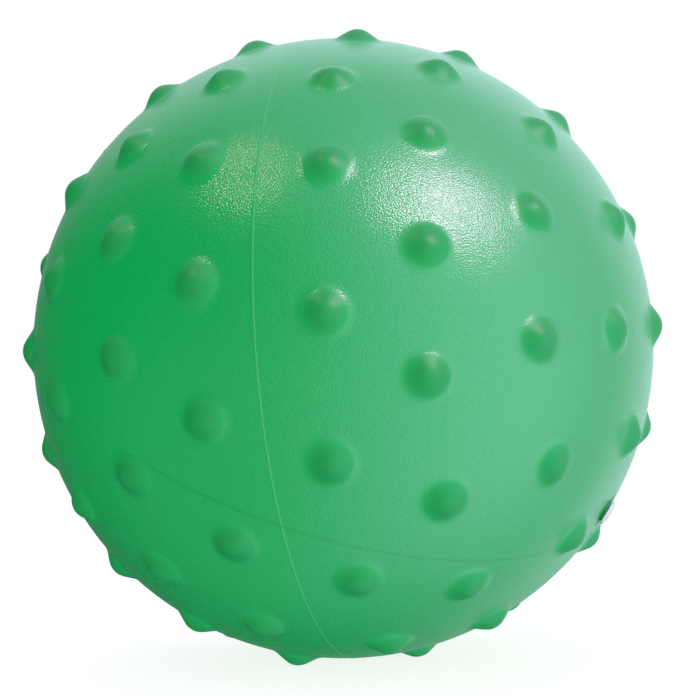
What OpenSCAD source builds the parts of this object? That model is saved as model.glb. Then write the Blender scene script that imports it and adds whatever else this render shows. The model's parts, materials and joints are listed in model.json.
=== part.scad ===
// Soft moulded sensory ball with rounded nubs and a plug valve, standing on three of its nubs.
// Millimetres. The origin is the centre of the ball and +Z is up.

/* [Ball] */
// Diameter of the skin, without the nubs
ball_d = 180; // [150:1:240]
// Thickness of the moulded skin
skin_wall = 1.2; // [0.8:0.1:2]
// Width of the raised line where the two mould halves met
seam_w = 0.8; // [0.5:0.1:1.2]
// Height of that line above the skin
seam_h = 0.1; // [0.05:0.05:0.3]

/* [Nubs] */
// Height of a nub above the skin
nub_h = 3; // [2.4:0.1:3.8]
// Radius of a nub's rounded top
nub_top_r = 5.5; // [4.5:0.1:6]
// Diameter of a nub at its foot, where its straight flank meets the skin
nub_foot_d = 13; // [12:0.5:16]

/* [Valve seat] */
// Diameter of the hole for the plug's stem
bore_d = 4.2; // [3:0.1:5]
// Height of the neck around the hole above the skin, which leaves room for a fingernail under the plug's head
neck_h = 0.6; // [0.3:0.1:1.2]
// Wall of the neck
neck_wall = 0.8; // [0.6:0.1:1]
// Width of the seat's flat rim between the neck and the skin
seat_rim = 2.1; // [1:0.1:3]
// Reach of the flange bonded inside the skin, past the edge of the seat
flange_lip = 3.4; // [2:0.1:6]
// Thickness of the flange at its middle
flange_t = 2.8; // [2:0.1:5]
// Wall of the sleeve around the stem
sleeve_wall = 1.8; // [1:0.1:3]
// Length of the sleeve below the flange
sleeve_l = 9; // [7:0.5:14]

/* [Valve plug] */
// Diameter of the plug's head
head_d = 7.6; // [7.2:0.1:10]
// Thickness of the plug's head
head_t = 1.2; // [1:0.1:2.5]
// Radius of the rounded top of the head
head_dome_r = 10; // [8.5:0.1:14]
// Length of the plug's stem
stem_l = 13; // [8:0.5:18]
// Loss of radius along the stem
stem_taper = 0.45; // [0.1:0.05:0.7]
// Length of the pointed nose of the stem
nose_l = 1.5; // [0.5:0.1:3]
// Loss of radius along the nose
nose_taper = 0.7; // [0.3:0.05:0.9]

/* [Clearances] */
// Gap between the stem and its hole under the head, on each side
stem_gap = 0.05; // [0.02:0.01:0.2]
// Thickness left for the bond between the seat and the skin
bond_gap = 0.1; // [0.05:0.01:0.3]

/* [Hidden] */
$fn = 96;
small_fn = 48;
overrun = 1;

// Rings of nubs on the right and left halves, by their angle from the mould axis, which is +X and -X
ring_angles = [[0, 22.5, 42.5, 63, 80], [0, 23, 44, 63.5, 80]];
// Number of nubs in each ring, on the right half and on the left half
ring_counts = [[1, 6, 11, 15, 15], [1, 7, 12, 16, 16]];
// Turn of each ring's first nub about the mould axis, on the right half and on the left half
ring_phase_angles = [[0, 0, 1, 5.5, -6], [0, -10, 6.5, -2, -13]];
// Place of the valve on the right half: angle from the mould axis and turn about it
valve_angles = [35, 82.5];
// Nubs that stand off their ring: side, ring and number in the ring, then the change of angle and of turn
nub_shift_angles = [[0, 4, 14, -1.5, -2.5], [0, 4, 0, -1.5, -0.5], [0, 3, 14, -1, 0.5], [1, 4, 2, 1, 0]];
// The three nubs that the ball stands on: side, ring and number in the ring
standing_nubs = [[0, 4, 4], [1, 4, 4], [1, 4, 5]];

ball_r = ball_d / 2;
inner_r = ball_r - skin_wall;

// A nub's straight flank runs from its foot on the skin to where it touches the rounded top
nub_foot_r = nub_foot_d / 2;
nub_centre = ball_r + nub_h - nub_top_r;
flank_foot_z = chord_height(ball_r, nub_foot_r);
foot_angle = atan2(flank_foot_z - nub_centre, nub_foot_r);
touch_angle = foot_angle + acos(nub_top_r / norm([nub_foot_r, flank_foot_z - nub_centre]));
flank_top_r = nub_top_r * cos(touch_angle);
flank_top_z = nub_centre + nub_top_r * sin(touch_angle);
flank_slope = (nub_foot_r - flank_top_r) / (flank_top_z - flank_foot_z);
flank_base_z = flank_foot_z - skin_wall / 2;

// Radii of the valve, and levels on its axis from the centre of the ball
head_r = head_d / 2;
bore_r = bore_d / 2;
neck_r = bore_r + neck_wall;
seat_r = neck_r + seat_rim;
skin_hole_r = seat_r + bond_gap;
stem_r = bore_r - stem_gap;
stem_tip_r = stem_r - stem_taper;
nose_r = stem_tip_r - nose_taper;
neck_top_z = ball_r + neck_h;
seat_top_z = chord_height(ball_r, seat_r);
flange_floor_z = inner_r - flange_t;
sleeve_floor_z = flange_floor_z - sleeve_l;
bore_cut_z = sleeve_floor_z - overrun;

// Height above its centre at which a sphere is as wide as a given radius
function chord_height(sphere_r, width_r) = sqrt(sphere_r * sphere_r - width_r * width_r);

// Direction of a place on the ball before it is stood on its nubs
function direction(place) = [
    cos(place[0]),
    -sin(place[0]) * cos(place[1]),
    -sin(place[0]) * sin(place[1])
];

// Changes of angle and turn of one nub, none for a nub that keeps to its ring
function nub_shift(nub) = concat(
    [for (shift = nub_shift_angles) if ([shift[0], shift[1], shift[2]] == nub) [shift[3], shift[4]]],
    [[0, 0]]
)[0];

// Place of one nub: angle from +X and turn about it
function nub_place(side, ring, number) = [
    side == 0
        ? ring_angles[side][ring] + nub_shift([side, ring, number])[0]
        : 180 - ring_angles[side][ring] - nub_shift([side, ring, number])[0],
    ring_phase_angles[side][ring] + number * 360 / ring_counts[side][ring] + nub_shift([side, ring, number])[1]
];

nub_places = [
    for (side = [0, 1], ring = [0 : len(ring_angles[side]) - 1], number = [0 : ring_counts[side][ring] - 1])
        nub_place(side, ring, number)
];

// The ball turns until the plane through its standing nubs is level
standing = [for (nub = standing_nubs) direction(nub_place(nub[0], nub[1], nub[2]))];
plane_normal = cross(standing[1] - standing[0], standing[2] - standing[0]);
down = plane_normal / (norm(plane_normal) * sign(-plane_normal[2]));
stand_axis = cross(down, [0, 0, -1]);
stand_angle = acos(-down[2]);

module stood() {
    rotate(a = stand_angle, v = stand_axis) children();
}

// Turns the +Z axis to a place on the ball
module at_place(place) {
    rotate([place[1], 0, 0]) rotate([0, 0, -place[0]]) rotate([0, 90, 0]) children();
}

module nub() {
    translate([0, 0, nub_centre]) sphere(r = nub_top_r, $fn = small_fn);
    translate([0, 0, flank_base_z])
        cylinder(
            h = flank_top_z - flank_base_z,
            r1 = flank_top_r + flank_slope * (flank_top_z - flank_base_z),
            r2 = flank_top_r,
            $fn = small_fn
        );
}

module nub_hollow() {
    translate([0, 0, nub_centre]) sphere(r = nub_top_r - skin_wall, $fn = small_fn);
}

module seam_line() {
    rotate([0, 90, 0]) cylinder(h = seam_w, r = ball_r + seam_h, center = true);
}

module ball_skin() {
    color("mediumseagreen")
        stood()
            difference() {
                union() {
                    rotate([0, 90, 0]) sphere(r = ball_r);
                    seam_line();
                    for (place = nub_places) at_place(place) nub();
                }
                union() {
                    rotate([0, 90, 0]) sphere(r = inner_r);
                    for (place = nub_places) at_place(place) nub_hollow();
                }
                at_place(valve_angles)
                    translate([0, 0, flange_floor_z])
                        cylinder(h = neck_top_z - flange_floor_z, r = skin_hole_r, $fn = small_fn);
            }
}

module valve_seat() {
    color("seagreen")
        stood()
            at_place(valve_angles)
                difference() {
                    union() {
                        translate([0, 0, flange_floor_z])
                            cylinder(h = seat_top_z - flange_floor_z, r = seat_r, $fn = small_fn);
                        translate([0, 0, flange_floor_z])
                            cylinder(h = neck_top_z - flange_floor_z, r = neck_r, $fn = small_fn);
                        intersection() {
                            translate([0, 0, flange_floor_z])
                                cylinder(h = flange_t + overrun, r = seat_r + flange_lip, $fn = small_fn);
                            sphere(r = inner_r - bond_gap);
                        }
                        translate([0, 0, sleeve_floor_z])
                            cylinder(h = sleeve_l + flange_t, r = bore_r + sleeve_wall, $fn = small_fn);
                    }
                    translate([0, 0, bore_cut_z])
                        cylinder(h = neck_top_z + overrun - bore_cut_z, r = bore_r, $fn = small_fn);
                }
}

module valve_plug() {
    color("lavender")
        stood()
            at_place(valve_angles)
                translate([0, 0, neck_top_z]) {
                    intersection() {
                        cylinder(h = head_t, r = head_r, $fn = small_fn);
                        translate([0, 0, head_t - head_dome_r]) sphere(r = head_dome_r, $fn = small_fn);
                    }
                    translate([0, 0, -stem_l])
                        cylinder(h = stem_l, r1 = stem_tip_r, r2 = stem_r, $fn = small_fn);
                    translate([0, 0, -stem_l - nose_l])
                        cylinder(h = nose_l, r1 = nose_r, r2 = stem_tip_r, $fn = small_fn);
                }
}

ball_skin();
valve_seat();
valve_plug();
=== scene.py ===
# %% [markdown]
# # A soft vinyl sensory ball
# The ball is a hollow skin with rounded nubs, moulded in two half moulds, with a plug in an inflation
# valve. The CAD model gives every size and place. Here the skin, the valve seat and the plug are made again
# as fine surfaces, each gets its finish, and the ball is lit and seen as in the photograph.

import json
import math

import bpy
import numpy as np
from mathutils import Matrix, Vector


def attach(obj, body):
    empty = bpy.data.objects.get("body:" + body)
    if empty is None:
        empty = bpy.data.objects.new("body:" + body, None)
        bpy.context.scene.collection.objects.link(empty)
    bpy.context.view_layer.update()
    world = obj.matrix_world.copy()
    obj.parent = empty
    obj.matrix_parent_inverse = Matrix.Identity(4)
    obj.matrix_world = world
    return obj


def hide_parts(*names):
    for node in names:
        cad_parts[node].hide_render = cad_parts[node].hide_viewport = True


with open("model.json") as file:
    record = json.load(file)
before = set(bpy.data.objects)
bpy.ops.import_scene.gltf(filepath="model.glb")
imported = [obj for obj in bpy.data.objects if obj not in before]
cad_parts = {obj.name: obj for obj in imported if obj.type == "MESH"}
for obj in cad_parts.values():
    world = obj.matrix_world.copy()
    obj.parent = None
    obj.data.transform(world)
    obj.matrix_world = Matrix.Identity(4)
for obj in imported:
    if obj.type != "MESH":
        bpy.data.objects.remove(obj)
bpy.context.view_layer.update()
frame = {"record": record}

# %% [markdown]
# ## Sizes and the nub pattern
# These repeat the driving sizes of the CAD model, in metres. The nubs stand in rings about the mould axis,
# the line through the tops of the two half moulds. A ring is an angle from that axis, a number of nubs and
# a first turn, so a hundred places come from three short tables, and a fourth moves the few nubs that stand
# off their ring. Before it is stood on its nubs, the ball's mould axis is +X.

# %% Sizes and nub directions
MM = 0.001
BALL_R = 90 * MM
SKIN_WALL = 1.2 * MM
NUB_H = 3 * MM
NUB_TOP_R = 5.5 * MM
NUB_FOOT_R = 6.5 * MM
SEAM_W = 0.8 * MM
SEAM_H = 0.1 * MM
RING_ANGLES = [[0, 22.5, 42.5, 63, 80], [0, 23, 44, 63.5, 80]]
RING_COUNTS = [[1, 6, 11, 15, 15], [1, 7, 12, 16, 16]]
RING_PHASES = [[0, 0, 1, 5.5, -6], [0, -10, 6.5, -2, -13]]
NUB_SHIFTS = [(0, 4, 14, -1.5, -2.5), (0, 4, 0, -1.5, -0.5), (0, 3, 14, -1, 0.5), (1, 4, 2, 1, 0)]
STANDING_NUBS = [(0, 4, 4), (1, 4, 4), (1, 4, 5)]
VALVE_ANGLES = (35, 82.5)


def direction(polar, turn):
    """Unit vectors at an angle from the mould axis and a turn about it, both in degrees."""
    polar = np.radians(polar)
    turn = np.radians(turn)
    return np.stack([np.cos(polar), -np.sin(polar) * np.cos(turn), -np.sin(polar) * np.sin(turn)], axis=-1)


def ring_directions(side, ring):
    """Directions of a ring's nubs: even turns about the mould axis, apart from the few nubs that are shifted.

    Side 0 is the right half mould. Side 1 is the left one, whose angles start from the axis's other end.
    """
    count = RING_COUNTS[side][ring]
    angle = np.full(count, float(RING_ANGLES[side][ring]))
    turn = RING_PHASES[side][ring] + np.arange(count) * 360 / count
    for shift_side, shift_ring, number, more_angle, more_turn in NUB_SHIFTS:
        if (shift_side, shift_ring) == (side, ring):
            angle[number] += more_angle
            turn[number] += more_turn
    return direction(angle if side == 0 else 180 - angle, turn)


def standing_turn():
    """Rotation that levels the plane through the three standing nubs, so that the ball stands on them."""
    a, b, c = (ring_directions(side, ring)[number] for side, ring, number in STANDING_NUBS)
    normal = np.cross(b - a, c - a)
    down = -np.sign(normal[2]) * normal / np.linalg.norm(normal)
    axis = np.cross(down, (0, 0, -1))
    return np.array(Matrix.Rotation(math.acos(-down[2]), 3, axis))


STAND = standing_turn()
NUB_DIRECTIONS = np.concatenate([
    ring_directions(side, ring)
    for side in (0, 1)
    for ring in range(len(RING_COUNTS[side]))
])
MOULD_AXIS = STAND @ (1, 0, 0)
VALVE_AXIS = STAND @ direction(*VALVE_ANGLES)
print("nubs", len(NUB_DIRECTIONS), "valve axis", VALVE_AXIS.round(4))

# %% [markdown]
# ## The camera
# The photograph shows the ball from its own height. The turn, the distance and the small roll were found by
# matching the nubs, and the lens follows from the ball's size in the picture. The ball sits a little off
# the middle of the frame, which a small lens shift repeats.

# %% Camera
PHOTO_SIDE = 696
BALL_CENTRE_PX = (343.4, 348.2)
BALL_RADIUS_PX = 310.1
CAMERA_AZIMUTH = 14.0
CAMERA_ELEVATION = -0.4
CAMERA_ROLL = -1.05
CAMERA_DISTANCE = 6.1 * BALL_R
CLIP_START = 0.01
SENSOR = 36.0
VIEW = (Matrix.Rotation(math.radians(CAMERA_AZIMUTH), 4, "Z")
        @ Matrix.Rotation(math.radians(90 - CAMERA_ELEVATION), 4, "X")
        @ Matrix.Rotation(math.radians(CAMERA_ROLL), 4, "Z"))


def seen(right, up, back):
    """Direction in the world of one given as the camera sees it: to its right, up and towards it."""
    return VIEW.to_3x3() @ Vector((right, up, back))


def make_camera():
    """Camera aimed at the ball's centre from its distance, with the lens that gives the ball its width."""
    data = bpy.data.cameras.new("photo_camera")
    camera = bpy.data.objects.new("photo_camera", data)
    camera.matrix_world = VIEW @ Matrix.Translation((0, 0, CAMERA_DISTANCE))
    data.sensor_width = SENSOR
    edge = math.tan(math.asin(BALL_R / CAMERA_DISTANCE))
    data.lens = SENSOR * BALL_RADIUS_PX / (edge * PHOTO_SIDE)
    data.shift_x = (PHOTO_SIDE / 2 - BALL_CENTRE_PX[0]) / PHOTO_SIDE
    data.shift_y = (BALL_CENTRE_PX[1] - PHOTO_SIDE / 2) / PHOTO_SIDE
    data.clip_start = CLIP_START
    bpy.context.collection.objects.link(camera)
    bpy.context.scene.camera = camera
    print("lens", round(data.lens, 1), "mm, at", tuple(round(v, 3) for v in camera.matrix_world.translation))


make_camera()

# %% [markdown]
# ## From arrays to a mesh
# Every piece below is a grid of points worked out with numpy. Two helpers serve them all: one joins
# neighbouring grid points into faces, and one welds points that fall together, drops faces that have shrunk
# to a line and hands the rest to Blender in one go.

# %% Mesh helpers
WELD = 1e-7


def grid_faces(rows, columns, first=0):
    """Quads of a grid of rows by columns points that are numbered row by row from first."""
    corner = first + np.arange(rows - 1)[:, None] * columns + np.arange(columns - 1)
    return np.stack([corner, corner + 1, corner + columns + 1, corner + columns], axis=-1).reshape(-1, 4)


def weld(points, faces):
    """Points that fall together become one, and the faces follow."""
    keys = np.round(points / WELD).astype(np.int64)
    _, kept, again = np.unique(keys, axis=0, return_index=True, return_inverse=True)
    return points[kept], again.reshape(-1)[faces]


def halves(quads):
    """Each quad as two triangles, without those that have lost a side."""
    triangles = np.concatenate([quads[:, [0, 1, 2]], quads[:, [0, 2, 3]]])
    a, b, c = triangles.T
    return triangles[(a != b) & (b != c) & (c != a)]


def make_piece(name, points, face_arrays, sharp_angle):
    """Mesh object at the origin, smooth apart from edges sharper than an angle in degrees."""
    mesh = bpy.data.meshes.new(name)
    faces = [face for array in face_arrays for face in array.tolist()]
    mesh.from_pydata(points.tolist(), [], faces)
    mesh.shade_smooth()
    mesh.set_sharp_from_angle(angle=math.radians(sharp_angle))
    piece = bpy.data.objects.new(name, mesh)
    bpy.context.collection.objects.link(piece)
    triangles = sum(len(array) * (array.shape[1] - 2) for array in face_arrays)
    print(name, len(points), "points,", triangles, "triangles")
    return piece


# %% [markdown]
# ## The skin
# On the real ball the skin and its nubs are one piece of vinyl, moulded in two half moulds that leave a
# fine raised parting line. A globe with displaced points could stand for it, but a globe's grid crowds its
# points at the poles. So the skin starts as a cube whose six faces are blown up to a sphere, which keeps
# the cells nearly square and alike. The cube's X axis is the mould axis, so the parting line runs along
# grid lines through the middle of four faces, and a few extra rows there give it its shape.
#
# Each point then moves out by the height of the nub nearest to it. A nub has a round top, a straight flank
# that touches it and a small hollow curve at the foot, all carried round the nub's own axis.

# %% Skin surface
CELLS = 116
INNER_CELLS = 24
SEAM_ROWS = np.array([0.1, 0.2, 0.3, 0.5, 0.9]) * MM / BALL_R
NUB_CENTRE_DEPTH = NUB_TOP_R - NUB_H
NUB_CURVE_R = 4 * MM
FOOT_TILT = math.atan2(NUB_CENTRE_DEPTH, NUB_FOOT_R)
FLANK_TILT = math.pi / 2 - FOOT_TILT - math.acos(NUB_TOP_R / math.hypot(NUB_FOOT_R, NUB_CENTRE_DEPTH))
FLANK_TOP = NUB_TOP_R * math.sin(FLANK_TILT)
CURVE_REACH = NUB_CURVE_R * math.tan(FLANK_TILT / 2)
FLANK_END = NUB_FOOT_R - CURVE_REACH * math.cos(FLANK_TILT)
NUB_END = NUB_FOOT_R + CURVE_REACH


def cube_sphere(cells, extra_rows=()):
    """Points and quads of a unit sphere made of six square grids.

    A grid runs from -45 to 45 degrees both ways, and the tangent of each angle is the place on the cube's
    face. The four faces round the X axis take extra rows, given as angles from their middle line.
    """
    even = np.linspace(-np.pi / 4, np.pi / 4, cells + 1)
    extra = np.asarray(extra_rows)
    crowded = np.unique(np.concatenate([even, extra, -extra]))
    points, faces, first = [], [], 0
    for axis in range(3):
        for sign in (1, -1):
            across = even if axis == 0 else crowded
            u, v = np.meshgrid(np.tan(across), np.tan(even), indexing="ij")
            ones = np.ones_like(u)
            # On the side faces the first grid angle runs along X, across the parting line
            columns = [(ones, u, v), (u, ones, v), (u, v, ones)][axis]
            cube = np.stack(columns, axis=-1).reshape(-1, 3)
            cube[:, axis] *= sign
            quads = grid_faces(len(across), len(even), first)
            outward = (axis != 1) == (sign > 0)
            faces.append(quads if outward else quads[:, ::-1])
            points.append(cube / np.linalg.norm(cube, axis=1, keepdims=True))
            first += len(cube)
    return weld(np.concatenate(points), np.concatenate(faces))


def nub_height(away):
    """Height of the skin at a distance from a nub's middle.

    First comes the arc of the round top, then the straight flank that touches it, then the hollow arc that
    touches both the flank and the skin.
    """
    top = np.sqrt(np.clip(NUB_TOP_R**2 - away**2, 0, None)) - NUB_CENTRE_DEPTH
    flank = (NUB_FOOT_R - away) * math.tan(FLANK_TILT)
    left = np.clip(NUB_END - away, 0, NUB_CURVE_R)
    curve = NUB_CURVE_R - np.sqrt(NUB_CURVE_R**2 - left**2)
    return np.where(away < FLANK_TOP, top, np.where(away < FLANK_END, flank, curve))


def seam_height(away):
    """Height of the parting line at a distance from its middle: one hump of a cosine."""
    inside = np.clip(np.abs(away) / (SEAM_W / 2), 0, 1)
    return SEAM_H * 0.5 * (1 + np.cos(np.pi * inside))


def skin_relief(unit):
    """Height above the skin at unit directions, and how far up a nub each one lies, from 0 to 1."""
    nearest = np.clip((unit @ NUB_DIRECTIONS.T).max(axis=1), -1, 1)
    nub = nub_height(BALL_R * np.arccos(nearest))
    seam = seam_height(BALL_R * np.arcsin(np.clip(unit[:, 0], -1, 1)))
    return nub + seam, nub / NUB_H


outer_unit, outer_faces = cube_sphere(CELLS, SEAM_ROWS)
relief, nub_share = skin_relief(outer_unit)
print("outer skin", len(outer_unit), "points, highest", round(relief.max() / MM, 2), "mm")

# %% [markdown]
# ## The opening for the valve
# The skin is one closed shell, 1.2 mm thick, with a round hole where the valve seat sits. A Boolean cut
# could make the hole, but it leaves long thin faces that shade badly. So on each wall the faces in the hole
# are dropped and the points on the ragged edge are pulled onto the circle. The two edges then have
# different numbers of points, so they are joined like a zip: each edge of one ring reaches the nearest
# point of the other.

# %% Shell with a hole
BORE_R = 2.1 * MM
NECK_WALL = 0.8 * MM
SEAT_RIM = 2.1 * MM
BOND_GAP = 0.1 * MM
NECK_R = BORE_R + NECK_WALL
SEAT_R = NECK_R + SEAT_RIM
HOLE_R = SEAT_R + BOND_GAP
VALVE_DIRECTION = direction(*VALVE_ANGLES)


def valve_sides():
    """Two unit vectors square to the valve's axis, before the ball is stood up."""
    first = np.cross(VALVE_DIRECTION, (1, 0, 0))
    first /= np.linalg.norm(first)
    return first, np.cross(VALVE_DIRECTION, first)


def open_hole(points, faces, radius):
    """Drops the faces inside the hole, pulls the edge onto its circle and gives the edge in order."""
    side_a, side_b = valve_sides()
    flat = np.stack([points @ side_a, points @ side_b], axis=1)
    near = points @ VALVE_DIRECTION > 0
    middle = flat[faces].mean(axis=1)
    inside = near[faces].all(axis=1) & (np.hypot(*middle.T) < radius)
    edge = np.intersect1d(faces[inside], faces[~inside])
    turn = np.arctan2(flat[edge, 1], flat[edge, 0])
    level = np.linalg.norm(points[edge], axis=1)
    rise = np.sqrt(level**2 - radius**2)
    points = points.copy()
    points[edge] = (radius * np.cos(turn)[:, None] * side_a + radius * np.sin(turn)[:, None] * side_b
                    + rise[:, None] * VALVE_DIRECTION)
    order = np.argsort(turn)
    return points, faces[~inside], edge[order], turn[order]


def zip_rings(ring_a, turn_a, ring_b, turn_b):
    """Triangles between two rings of points, each given in order of its turn."""
    next_a, next_b = np.roll(ring_a, -1), np.roll(ring_b, -1)
    middle_a = turn_a + np.diff(turn_a, append=turn_a[0] + 2 * np.pi) / 2
    middle_b = turn_b + np.diff(turn_b, append=turn_b[0] + 2 * np.pi) / 2
    apex_b = ring_b[np.searchsorted(middle_b, middle_a) % len(ring_b)]
    apex_a = ring_a[np.searchsorted(middle_a, middle_b) % len(ring_a)]
    from_a = np.stack([ring_a, next_a, apex_b], axis=1)
    from_b = np.stack([next_b, ring_b, apex_a], axis=1)
    return np.concatenate([from_a, from_b])


def used_only(points, faces, values):
    """Leaves out the points that no face uses."""
    kept, again = np.unique(np.concatenate([f.reshape(-1) for f in faces]), return_inverse=True)
    ends = np.cumsum([f.size for f in faces])[:-1]
    faces = [part.reshape(f.shape) for part, f in zip(np.split(again, ends), faces)]
    return points[kept], faces, values[kept]


# %% [markdown]
# ## The skin as one piece
# The two walls and the rim of the hole are put together. How far up a nub each point lies is stored with
# the mesh, because the finish needs it later: the nubs of the real ball are smoother than the skin between
# them, and their deeper green, partly painted shade, follows it too.

# %% Skin piece
def make_skin():
    """Outer wall with nubs, plain inner wall and the rim of the hole, as one closed shell."""
    outer = outer_unit * (BALL_R + relief)[:, None]
    outer, outer_quads, outer_ring, outer_turn = open_hole(outer, outer_faces, HOLE_R)
    inner_unit, inner_faces = cube_sphere(INNER_CELLS)
    inner = inner_unit * (BALL_R - SKIN_WALL)
    inner, inner_quads, inner_ring, inner_turn = open_hole(inner, inner_faces[:, ::-1], HOLE_R)
    rim = zip_rings(outer_ring, outer_turn, inner_ring + len(outer), inner_turn)
    points = np.concatenate([outer, inner])
    share = np.concatenate([nub_share, np.zeros(len(inner))])
    faces = [np.concatenate([outer_quads, inner_quads + len(outer)]), rim]
    points, faces, share = used_only(points, faces, share)
    piece = make_piece("ball_skin_surface", points @ STAND.T, faces, sharp_angle=60)
    attribute = piece.data.attributes.new("nub", "FLOAT", "POINT")
    attribute.data.foreach_set("value", share.astype(np.float32))
    return piece


skin = make_skin()
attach(skin, "ball")
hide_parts("ball_skin")

# %% [markdown]
# ## The valve seat and the plug
# On the real ball the seat is a soft insert bonded under the skin, and its bore grips the plug, a small
# stopper that is pulled out to pump the ball up. Bevelled cylinders could be stacked for them, but both are
# turned forms, so one profile carried round the valve's axis gives each of them as one closed surface. A
# profile is a list of corners, radius first and then the level along the axis, and each corner is rounded
# by a small curve.

# %% Turned pieces
SIDES = 96
CURVE_STEPS = 5
FLANGE_STEPS = 6
DOME_STEPS = 12
SEAT_EDGE_R = 0.2 * MM
PLUG_EDGE_R = 0.25 * MM
NECK_H = 0.6 * MM
FLANGE_LIP = 3.4 * MM
FLANGE_T = 2.8 * MM
SLEEVE_WALL = 1.8 * MM
SLEEVE_L = 9 * MM
HEAD_R = 3.8 * MM
HEAD_T = 1.2 * MM
HEAD_DOME_R = 10 * MM
STEM_L = 13 * MM
STEM_GAP = 0.05 * MM
STEM_TAPER = 0.45 * MM
NOSE_L = 1.5 * MM
NOSE_TAPER = 0.7 * MM
INNER_R = BALL_R - SKIN_WALL
SEAT_TOP = math.sqrt(BALL_R**2 - SEAT_R**2)
NECK_TOP = BALL_R + NECK_H
FLANGE_FLOOR = INNER_R - FLANGE_T
SLEEVE_FLOOR = FLANGE_FLOOR - SLEEVE_L


def rounded(corners, radius):
    """Profile through corners, with each inner corner replaced by a curve of about a radius.

    The curve is a quadratic one between two points on the corner's sides, each a radius from the corner.
    """
    corners = np.asarray(corners, float)
    corner = corners[1:-1]

    def toward(neighbour):
        side = neighbour - corner
        share = np.minimum(radius / np.linalg.norm(side, axis=1), 0.5)
        return corner + side * share[:, None]

    t = np.linspace(0, 1, CURVE_STEPS)[:, None]
    start = toward(corners[:-2])[:, None]
    end = toward(corners[2:])[:, None]
    curves = (1 - t) ** 2 * start + 2 * t * (1 - t) * corner[:, None] + t**2 * end
    return np.concatenate([corners[:1], curves.reshape(-1, 2), corners[-1:]])


def turned_piece(name, profile):
    """Surface of a profile carried round the valve's axis, a ring if it ends where it starts."""
    turn = np.linspace(0, 2 * np.pi, SIDES + 1)
    side_a, side_b = valve_sides()
    radial = np.cos(turn)[:, None] * side_a + np.sin(turn)[:, None] * side_b
    points = profile[:, None, :1] * radial[None] + profile[:, None, 1:] * VALVE_DIRECTION
    points, quads = weld(points.reshape(-1, 3), grid_faces(len(profile), SIDES + 1))
    return make_piece(name, points @ STAND.T, [halves(quads)], sharp_angle=50)


def make_seat():
    """Rim flush with the skin, low neck round the bore, sleeve and the flange under the skin."""
    sleeve_r = BORE_R + SLEEVE_WALL
    flange_r = SEAT_R + FLANGE_LIP
    under_skin = INNER_R - BOND_GAP
    reach = np.linspace(flange_r, SEAT_R, FLANGE_STEPS)
    flange_top = np.stack([reach, np.sqrt(under_skin**2 - reach**2)], axis=1)
    corners = [
        (BORE_R, SLEEVE_FLOOR), (sleeve_r, SLEEVE_FLOOR), (sleeve_r, FLANGE_FLOOR), (flange_r, FLANGE_FLOOR),
        *flange_top, (SEAT_R, SEAT_TOP), (NECK_R, SEAT_TOP), (NECK_R, NECK_TOP), (BORE_R, NECK_TOP),
        (BORE_R, SLEEVE_FLOOR),
    ]
    return turned_piece("valve_seat_ring", rounded(corners, SEAT_EDGE_R)[::-1])


def make_plug():
    """Domed head with a rounded rim, a tapered stem and a pointed nose."""
    stem_r = BORE_R - STEM_GAP
    tip_r = stem_r - STEM_TAPER
    nose_r = tip_r - NOSE_TAPER
    dome = np.linspace(0, HEAD_R, DOME_STEPS)
    dome_level = NECK_TOP + HEAD_T - HEAD_DOME_R + np.sqrt(HEAD_DOME_R**2 - dome**2)
    corners = [
        *zip(dome, dome_level), (HEAD_R, NECK_TOP), (stem_r, NECK_TOP), (tip_r, NECK_TOP - STEM_L),
        (nose_r, NECK_TOP - STEM_L - NOSE_L), (0, NECK_TOP - STEM_L - NOSE_L),
    ]
    return turned_piece("valve_plug_stopper", rounded(corners, PLUG_EDGE_R))


seat = make_seat()
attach(seat, "ball")
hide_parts("valve_seat")
plug = make_plug()
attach(plug, "plug")
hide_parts("valve_plug")

# %% [markdown]
# ## Writing shader sums as Python
# A material is a net of nodes, and most of it is plain arithmetic. This small class wraps a socket so that
# `1 - mask` or `grain * 0.3` adds the Math nodes by itself. Its one other method makes any node at all.

# %% Shader wires
class Wire:
    """A node's output socket that can stand in a Python sum."""

    def __init__(self, tree, socket):
        self.tree = tree
        self.socket = socket

    def node(self, kind, settings, inputs, output=0):
        """Adds a node, sets its settings, fills its inputs with values or wires and gives one output."""
        node = self.tree.nodes.new(kind)
        for name, value in settings.items():
            setattr(node, name, value)
        sockets = {socket.name: socket for socket in reversed(node.inputs)}
        sockets |= {socket.identifier: socket for socket in node.inputs}
        for name, value in inputs.items():
            if isinstance(value, Wire):
                self.tree.links.new(value.socket, sockets[name])
            else:
                sockets[name].default_value = value
        return Wire(self.tree, node.outputs[output])

    def math(self, operation, left, right):
        """One Math node."""
        return self.node("ShaderNodeMath", {"operation": operation}, {"Value": left, "Value_001": right})

    def __add__(self, other):
        return self.math("ADD", self, other)

    def __sub__(self, other):
        return self.math("SUBTRACT", self, other)

    def __rsub__(self, other):
        return self.math("SUBTRACT", other, self)

    def __mul__(self, other):
        return self.math("MULTIPLY", self, other)

    def __abs__(self):
        return self.math("ABSOLUTE", self, 0.0)

    __radd__ = __add__
    __rmul__ = __mul__


# %% [markdown]
# ## Helpers for the finishes
# All the finishes start from the same shader and use the same few sums: noise for uneven places, a smooth
# ramp, a band about a line, a mix of two colours and the distance along an axis.

# %% Finish helpers
def start_material(name):
    """New material with a Principled shader, and the wire of the piece's own coordinates."""
    material = bpy.data.materials.new(name)
    material.use_nodes = True
    tree = material.node_tree
    tree.nodes.clear()
    shader = tree.nodes.new("ShaderNodeBsdfPrincipled")
    output = tree.nodes.new("ShaderNodeOutputMaterial")
    tree.links.new(shader.outputs[0], output.inputs["Surface"])
    place = Wire(tree, tree.nodes.new("ShaderNodeTexCoord").outputs["Object"])
    return material, shader, place


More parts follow.
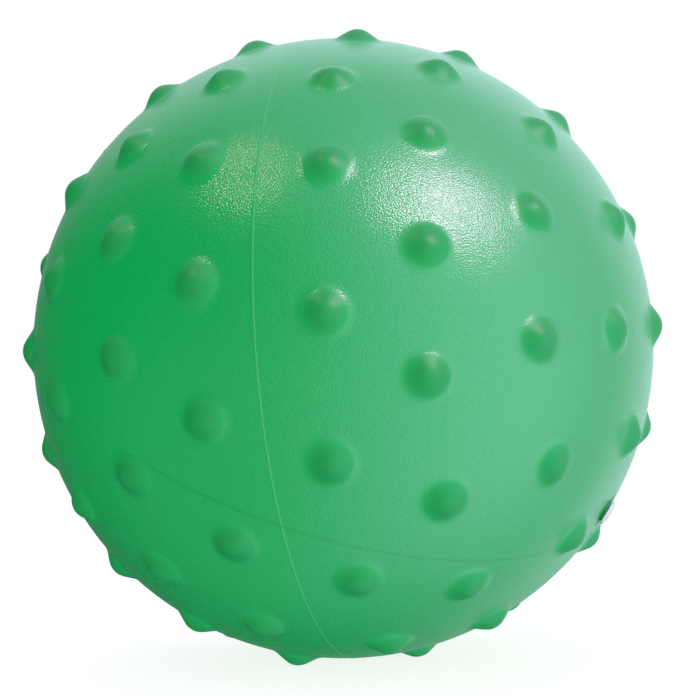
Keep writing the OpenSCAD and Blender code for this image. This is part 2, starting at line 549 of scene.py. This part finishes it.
def feed(shader, **inputs):
    """Fills the shader's sockets, named with _ for a space, with plain values or wires."""
    for name, value in inputs.items():
        socket = shader.inputs[name.replace("_", " ")]
        if isinstance(value, Wire):
            value.tree.links.new(value.socket, socket)
        else:
            socket.default_value = value


def noise(place, size):
    """Noise between 0 and 1 whose lumps are about size across."""
    return place.node("ShaderNodeTexNoise", {}, {"Vector": place, "Scale": 1 / size})


def ramp(value, start, end, low, high):
    """Smooth climb from low at start to high at end."""
    return value.node("ShaderNodeMapRange", {"interpolation_type": "SMOOTHSTEP"}, {
        "Value": value, "From Min": start, "From Max": end, "To Min": low, "To Max": high,
    })


def band(value, inner, outer):
    """1 where a value is under inner, falling smoothly to 0 at outer."""
    return ramp(value, inner, outer, 1.0, 0.0)


def mix(factor, first, second):
    """Colour between two colours."""
    return factor.node("ShaderNodeMix", {"data_type": "RGBA"}, {
        "Factor_Float": factor, "A_Color": first, "B_Color": second,
    }, output=2)


def dot(place, axis):
    """Distance along an axis through the origin."""
    return place.node("ShaderNodeVectorMath", {"operation": "DOT_PRODUCT"}, {
        "Vector": place, "Vector_001": tuple(axis),
    }, output=1)


# %% [markdown]
# ## The skin's finish
# The vinyl is a milky green with a fine pebble grain that glitters in the light; the grain's pits are painted
# a darker green, which is painted shade. The nubs came out of the mould smoother and a little deeper in
# colour, with less gloss, and part of their deeper green is painted shade. Gloss can't be painted by a
# picture that is baked for the part, so skin and nubs are two shaders, and a mask stored with the mesh, how
# far up a nub a point lies, mixes them.
#
# The parting line is painted a paler green along its middle. A faint crease across the lower part is painted
# as a darker line, which is painted shade, fading out towards the left.

# %% Skin material
PEBBLE_GREEN = (0.0, 0.41, 0.09, 1)
# Darker green of the grain's pits, which is painted shade
GRAIN_PIT_SHADE_GREEN = (0.0, 0.365, 0.08, 1)
# Deeper greens of the nubs: partly the vinyl's own colour, partly painted shade
NUB_GREEN_AND_SHADE = (0.0, 0.315, 0.066, 1)
NUB_DEEP_GREEN_AND_SHADE = (0.0, 0.29, 0.06, 1)
SEAM_GREEN = (0.1, 0.5, 0.2, 1)
# Darker green of the crease line, which is painted shade
CREASE_SHADE_GREEN = (0.0, 0.25, 0.04, 1)
GRAIN = 0.5 * MM
GRAIN_DEPTH = 0.065 * MM
SKIN_CLOUD = 25 * MM
NUB_CLOUD = 8 * MM
SEAM_PALE_WIDTHS = (0.1 * MM, 0.3 * MM)
SEAM_PALE_SHARE = 0.25
# The crease lies in a plane, given by its axis as the camera sees it and by its distance from the ball's
# centre
CREASE_AXIS = seen(-0.29, -0.877, -0.382)
CREASE_LEVEL = 0.167 * BALL_R
CREASE_WIDTHS = (0.1 * MM, 0.8 * MM)
CREASE_FADE = (-0.8 * BALL_R, -0.5 * BALL_R)
CREASE_SHARE = 0.35


def pebbled_skin(place, shader):
    """Fills the shader of the plain skin: speckled colour with painted shade in the grain's pits, a paler
    parting line, the crease's painted shade and the grain.
    """
    grain = place.node("ShaderNodeTexVoronoi", {}, {"Vector": place, "Scale": 1 / GRAIN})
    clouds = noise(place, SKIN_CLOUD)
    # Painted shade: the pits between the pebbles are coloured darker than the pebble tops
    colour = mix(ramp(grain, 0.1, 0.7, 0.0, 1.0), PEBBLE_GREEN, GRAIN_PIT_SHADE_GREEN)
    # The parting line is painted a paler green along its middle
    seam = band(abs(dot(place, MOULD_AXIS)), *SEAM_PALE_WIDTHS)
    colour = mix(seam * SEAM_PALE_SHARE, colour, SEAM_GREEN)
    # Painted shade: a faint darker line along the crease
    crease_shade = band(abs(dot(place, CREASE_AXIS) - CREASE_LEVEL), *CREASE_WIDTHS)
    crease_shade = crease_shade * ramp(dot(place, seen(1, 0, 0)), *CREASE_FADE, 0.0, CREASE_SHARE)
    colour = mix(crease_shade, colour, CREASE_SHADE_GREEN)
    pebbles = place.node("ShaderNodeBump", {}, {
        "Strength": 1.0, "Distance": GRAIN_DEPTH, "Height": 1 - grain,
    })
    feed(shader, Base_Color=colour, Roughness=clouds * 0.04 + 0.2, Normal=pebbles)


def smooth_nub(place, nub):
    """Shader of the nubs: smooth vinyl with a softer gloss, deeper green towards the top, partly painted
    shade.
    """
    clouds = noise(place, NUB_CLOUD)
    # Painted shade in part: the nubs turn a deeper green towards their tops
    colour = mix(ramp(nub, 0.0, 0.7, 0.0, 1.0), GRAIN_PIT_SHADE_GREEN, mix(clouds, NUB_GREEN_AND_SHADE, NUB_DEEP_GREEN_AND_SHADE))
    return place.node("ShaderNodeBsdfPrincipled", {}, {
        "Base Color": colour, "Roughness": 0.45, "Specular IOR Level": 0.28,
    })


def skin_material():
    """Pebbled skin and smooth nubs, mixed by how far up a nub the point lies."""
    material, shader, place = start_material("green_vinyl")
    pebbled_skin(place, shader)
    nub = place.node("ShaderNodeAttribute", {"attribute_name": "nub"}, {}, output=2)
    both = place.node("ShaderNodeMixShader", {}, {
        "Fac": ramp(nub, 0.0, 0.3, 0.0, 1.0), "Shader": Wire(place.tree, shader.outputs[0]),
        "Shader_001": smooth_nub(place, nub),
    })
    place.tree.links.new(both.socket, place.tree.nodes["Material Output"].inputs["Surface"])
    return material


skin.data.materials.append(skin_material())
print("skin finish", len(skin.data.materials[0].node_tree.nodes), "nodes")

# %% [markdown]
# ## The valve's finishes
# The seat is the same vinyl without the grain. The plug is cloudy clear vinyl, so light goes into it and
# comes out softened. Clear glass would show the hole behind it too sharply, so only half of the light goes
# through, and a rough surface clouds the rest.

# %% Valve materials
SEAT_GREEN = (0.0, 0.36, 0.06, 1)
SEAT_DEEP_GREEN = (0.0, 0.32, 0.05, 1)
CLOUDY_CLEAR = (0.36, 0.41, 0.4, 1)
CLOUDIER_CLEAR = (0.3, 0.35, 0.34, 1)
SEAT_CLOUD = 2 * MM
PLUG_CLOUD = 3 * MM


def seat_material():
    """Plain green vinyl, a little uneven in colour and gloss."""
    material, shader, place = start_material("seat_vinyl")
    clouds = noise(place, SEAT_CLOUD)
    feed(shader, Base_Color=mix(clouds, SEAT_GREEN, SEAT_DEEP_GREEN), Roughness=clouds * 0.1 + 0.5)
    return material


def plug_material():
    """Greyish vinyl that lets half of the light through."""
    material, shader, place = start_material("cloudy_clear_vinyl")
    clouds = noise(place, PLUG_CLOUD)
    colour = mix(clouds, CLOUDY_CLEAR, CLOUDIER_CLEAR)
    feed(shader, Base_Color=colour, Roughness=clouds * 0.1 + 0.3)
    feed(shader, IOR=1.45, Transmission_Weight=0.5, Specular_IOR_Level=0.08)
    return material


seat.data.materials.append(seat_material())
plug.data.materials.append(plug_material())
print("valve finishes", seat.data.materials[0].name, "and", plug.data.materials[0].name)

# %% [markdown]
# ## The floor
# The ball was photographed on a white sheet before white. The floor here is a wide flat sheet at the height
# of the standing nubs. It glows a little, so that it comes out white and only the shadow under the ball
# shows. The ball doesn't mirror it: what the floor throws back is part of the backdrop below.

# %% Floor
FLOOR_Z = frame["record"]["mounts"][0]["pos_m"][2]
FLOOR_REACH = 6
FLOOR_GREY = (0.3, 0.3, 0.3, 1)
FLOOR_GLOW = 0.82
WHITE = (1, 1, 1, 1)


def make_floor():
    """Flat grid of four cells under the standing nubs, seen by the camera but not lighting the ball."""
    side = np.linspace(-FLOOR_REACH, FLOOR_REACH, 3)
    x, y = np.meshgrid(side, side)
    points = np.stack([x, y, np.full_like(x, FLOOR_Z)], axis=-1).reshape(-1, 3)
    floor = make_piece("floor", points, [grid_faces(3, 3)], sharp_angle=30)
    material, shader, _ = start_material("white_floor")
    feed(shader, Base_Color=FLOOR_GREY, Roughness=0.9, Specular_IOR_Level=0.0)
    feed(shader, Emission_Color=WHITE, Emission_Strength=FLOOR_GLOW)
    floor.data.materials.append(material)
    floor.visible_diffuse = False
    floor.visible_glossy = False


make_floor()

# %% [markdown]
# ## The lamps
# Two lamps give the highlights. A long soft one makes the broad glittering patch, where each pebble of the
# grain catches it, and a small warm one the spot left of it. They light the gloss alone, because the
# photograph shows no shadow of theirs.

# %% Lamps
LAMP_AWAY = 1


def soft_lamp(name, toward, along, length, width, radiance, colour):
    """Flat lamp that faces the ball from a direction, with its length along another one."""
    data = bpy.data.lights.new(name, "AREA")
    data.shape = "RECTANGLE"
    data.size = length
    data.size_y = width
    data.energy = radiance * math.pi * length * width
    data.color = colour
    lamp = bpy.data.objects.new(name, data)
    away = toward.normalized()
    side = (along - along.dot(away) * away).normalized()
    turn = Matrix((side, away.cross(side), away)).transposed().to_4x4()
    lamp.matrix_world = Matrix.Translation(away * LAMP_AWAY) @ turn
    lamp.visible_diffuse = False
    bpy.context.collection.objects.link(lamp)
    print(name, round(data.energy, 2), "W")


soft_lamp(
    "key_softbox", toward=seen(0.5, 0.72, 0.48), along=seen(0.93, -0.66, -0.4),
    length=0.5, width=0.2, radiance=29, colour=(1, 0.62, 0.9),
)
soft_lamp(
    "warm_spot", toward=seen(-0.46, 0.826, 0.312), along=seen(1, 0, 0),
    length=0.12, width=0.07, radiance=60, colour=(1, 0.72, 0.62),
)

# %% [markdown]
# ## The backdrop
# Milky vinyl scatters light inside itself, so on the real ball the green is nearly the same all over, and
# only the nubs' lower left flanks are darker. What models the ball is its gloss. One set of lamps can't
# give both, so the backdrop answers each kind of ray by itself.
#
# Diffuse rays find one very wide light, in front and above on the right, what the floor throws back from
# below, and a weaker light behind. Glossy rays find bright screens on the right, which lay a pale veil over
# that side, and a faint greenish light behind, which rims it. The camera itself sees plain white.

# %% Backdrop
SCREEN_COLOUR = (0.87, 0.76, 1.26)
RIM_COLOUR = (0.5, 0.75, 0.65)


def glow(look, toward, start, end, low, high):
    """Brightness that climbs from low to high as the cosine to a direction climbs from start to end."""
    return ramp(dot(look, seen(*toward)), start, end, low, high)


def scaled(colour, value):
    """Colour times a value, which may be more than 1."""
    return value.node("ShaderNodeVectorMath", {"operation": "SCALE"}, {"Vector": colour, "Scale": value})


def diffuse_light(look):
    """Front light, floor bounce and back light added up, all dimmed in the shade under the ball."""
    front = glow(look, (0.55, 0.45, 0.7), -0.55, 0.05, 0.1, 0.97)
    bounce = glow(look, (-0.4, -0.85, 0.35), 0.1, 1.0, 0.0, 0.6)
    behind = glow(look, (-0.35, 0.2, -0.9), 0.2, 0.9, 0.0, 0.7)
    shade = glow(look, (0, -0.97, -0.24), 0.7, 0.97, 1.0, 0.4)
    return (front + bounce + behind) * shade


def glossy_light(look):
    """Screens on the right, cut off behind and below, three weaker ones, and the rim light behind."""
    right = glow(look, (0.85, 0.1, 0), -0.6, 0.95, 0.0, 4.2)
    before = glow(look, (0, 0, 1), -0.6, 0.5, 0.12, 1.0)
    gap = glow(look, (0, -0.45, -0.89), 0.85, 0.97, 1.0, 0.0)
    low_left = glow(look, (-0.45, -0.75, 0.5), 0.3, 0.95, 0.0, 0.4)
    top = glow(look, (0.2, 0.95, -0.3), 0.3, 0.95, 0.0, 0.7)
    low_right = glow(look, (0.84, -0.4, -0.37), 0.5, 0.95, 0.0, 0.3)
    screens = right * before * gap + low_left + top + low_right
    rim = glow(look, (0, 0.1, -1), 0.1, 0.8, 0.0, 1.0) * glow(look, (0.8, 0.6, 0), -0.5, 0.3, 0.1, 1.0)
    return look.node("ShaderNodeVectorMath", {"operation": "ADD"}, {
        "Vector": scaled(SCREEN_COLOUR, screens), "Vector_001": scaled(RIM_COLOUR, rim),
    })


def make_world():
    """White for the camera and through the plug, and a light of its own for each other kind of ray."""
    world = bpy.data.worlds.new("studio")
    world.use_nodes = True
    world.cycles.sampling_method = "NONE"
    tree = world.node_tree
    look = Wire(tree, tree.nodes.new("ShaderNodeTexCoord").outputs["Generated"])
    path = tree.nodes.new("ShaderNodeLightPath")
    colour = mix(Wire(tree, path.outputs["Is Glossy Ray"]), diffuse_light(look), glossy_light(look))
    white = Wire(tree, path.outputs["Is Camera Ray"]) + Wire(tree, path.outputs["Is Transmission Ray"])
    colour = mix(white, colour, WHITE)
    tree.links.new(colour.socket, tree.nodes["Background"].inputs["Color"])
    bpy.context.scene.world = world
    print("backdrop", len(tree.nodes), "nodes")


make_world()
bpy.context.scene.view_settings.view_transform = "Standard"
